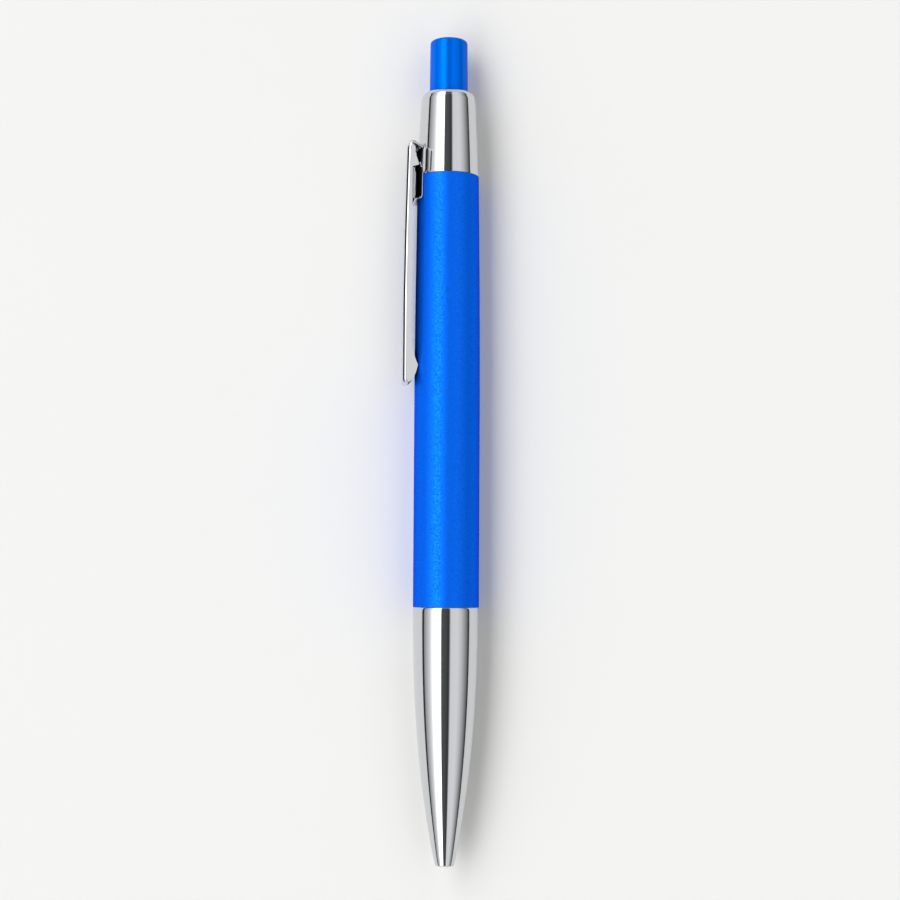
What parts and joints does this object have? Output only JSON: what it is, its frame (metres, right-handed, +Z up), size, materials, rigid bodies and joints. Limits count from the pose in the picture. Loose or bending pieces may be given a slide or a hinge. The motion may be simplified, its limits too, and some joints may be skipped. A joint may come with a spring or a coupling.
{
  "type": "ballpoint pen",
  "caption": "Slim push-button ballpoint pen with a tapered metal nose, a smooth metal barrel, a sprung pocket clip on a bright upper ring, and a click mechanism that extends the refill.",
  "frame": {"origin": "under the middle of the pen's box, on the surface that the pen lies on", "axes": "+Y along the pen towards its button, -X towards its clip, +Z up"},
  "size_m": [0.0132, 0.1386, 0.011],
  "materials": {
    "blue_lacquer": "satin metallic",
    "blue_plastic": "gloss",
    "chrome": "mirror",
    "brass": "machined",
    "white_plastic": "moulded",
    "black_plastic": "moulded",
    "spring_steel": "drawn wire",
    "steel": "drawn tube",
    "carbide": "polished",
    "ink": "liquid",
    "grease": "gel"
  },
  "bodies": {
    "barrel": {"barrel": "blue_lacquer", "front_bush": "brass", "rear_bush": "brass", "upper_ring": "chrome", "clip_leaf": "chrome", "cam_sleeve": "white_plastic"},
    "clip": {"pocket_clip": "chrome"},
    "button": {"push_button": "blue_plastic", "pusher": "white_plastic"},
    "rotor": {"cam_rotor": "black_plastic"},
    "refill": {"refill_point": "brass", "writing_ball": "carbide", "refill_neck": "brass", "refill_tube": "steel", "ink_column": "ink", "grease_plug": "grease", "refill_crown": "black_plastic"},
    "spring": {"return_spring": "spring_steel"},
    "nose": {"nose_cone": "chrome"}
  },
  "joints": [
    {"name": "button_press", "type": "slide", "parent": "barrel", "child": "button", "axis": [0, -1, 0], "range_m": [0, 0.0058], "stiffness_N_per_m": 400, "springref_m": -0.002, "deforming": ["return_spring"]},
    {"name": "rotor_advance", "type": "slide", "parent": "barrel", "child": "rotor", "axis": [0, -1, 0], "range_m": [0, 0.0058]},
    {"name": "refill_advance", "type": "slide", "parent": "barrel", "child": "refill", "axis": [0, -1, 0], "range_m": [0, 0.0058]},
    {"name": "clip_flex", "type": "hinge", "parent": "barrel", "child": "clip", "pos_m": [-0.00333, 0.05015, 0.00589], "axis": [-0.0872, 0, -0.9962], "range_deg": [0, 4], "stiffness_Nm_per_rad": 3},
    {"name": "nose_travel", "type": "slide", "parent": "barrel", "child": "spring", "axis": [0, -1, 0], "range_m": [0, 0.006]},
    {"name": "nose_turn", "type": "hinge", "parent": "spring", "child": "nose", "pos_m": [0.00115, -0.048, 0.0055], "axis": [0, -1, 0], "range_deg": [0, 2160]}
  ],
  "couplings": [
    {"joint": "rotor_advance", "follows": "button_press", "ratio": 1},
    {"joint": "refill_advance", "follows": "button_press", "ratio": 1},
    {"joint": "nose_travel", "follows": "nose_turn", "m_per_rad": 0.00015915}
  ]
}
